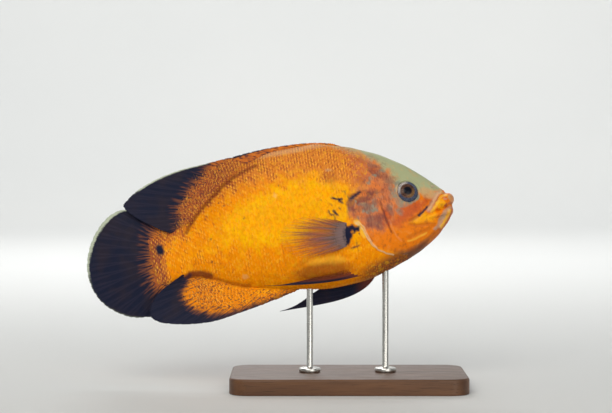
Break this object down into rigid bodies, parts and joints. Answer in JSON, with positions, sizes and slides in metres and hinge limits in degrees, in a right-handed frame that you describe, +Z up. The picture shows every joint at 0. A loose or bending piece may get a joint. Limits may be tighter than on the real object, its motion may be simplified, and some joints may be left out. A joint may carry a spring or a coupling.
{
  "type": "oscar fish",
  "caption": "Life-size oscar fish gliding nose-up with its fins folded back, held over a flat base by two short rods.",
  "frame": {"origin": "centre of the stand's underside, on the floor", "axes": "+X the way the fish faces, +Z up, +Y towards the fish's left side"},
  "size_m": [0.2858, 0.092, 0.184],
  "materials": {
    "flank_skin": "wet orange scales",
    "head_skin": "wet rust-brown skin",
    "lip_skin": "smooth amber skin",
    "eye": "polished, clear",
    "dark_fin": "blue-black rayed membrane",
    "pectoral_fin": "smoky translucent membrane",
    "stand_wood": "oiled walnut",
    "stand_steel": "fine satin"
  },
  "bodies": {
    "root": {"head": "head_skin", "lower_jaw": "head_skin", "upper_lip": "lip_skin", "lower_lip": "lip_skin", "gill_cover_right": "head_skin", "gill_cover_left": "head_skin", "eye_right": "eye", "eye_left": "eye", "torso": "flank_skin", "tail_stalk": "flank_skin", "dorsal_fin_spiny": "dark_fin", "dorsal_fin_soft": "dark_fin", "tail_fin": "dark_fin", "anal_fin": "dark_fin", "pectoral_fin_right": "pectoral_fin", "pectoral_fin_left": "pectoral_fin", "pelvic_fin_right": "dark_fin", "pelvic_fin_left": "dark_fin", "stand_base": "stand_wood", "stand_rod_front": "stand_steel", "stand_rod_rear": "stand_steel"}
  },
  "joints": []
}
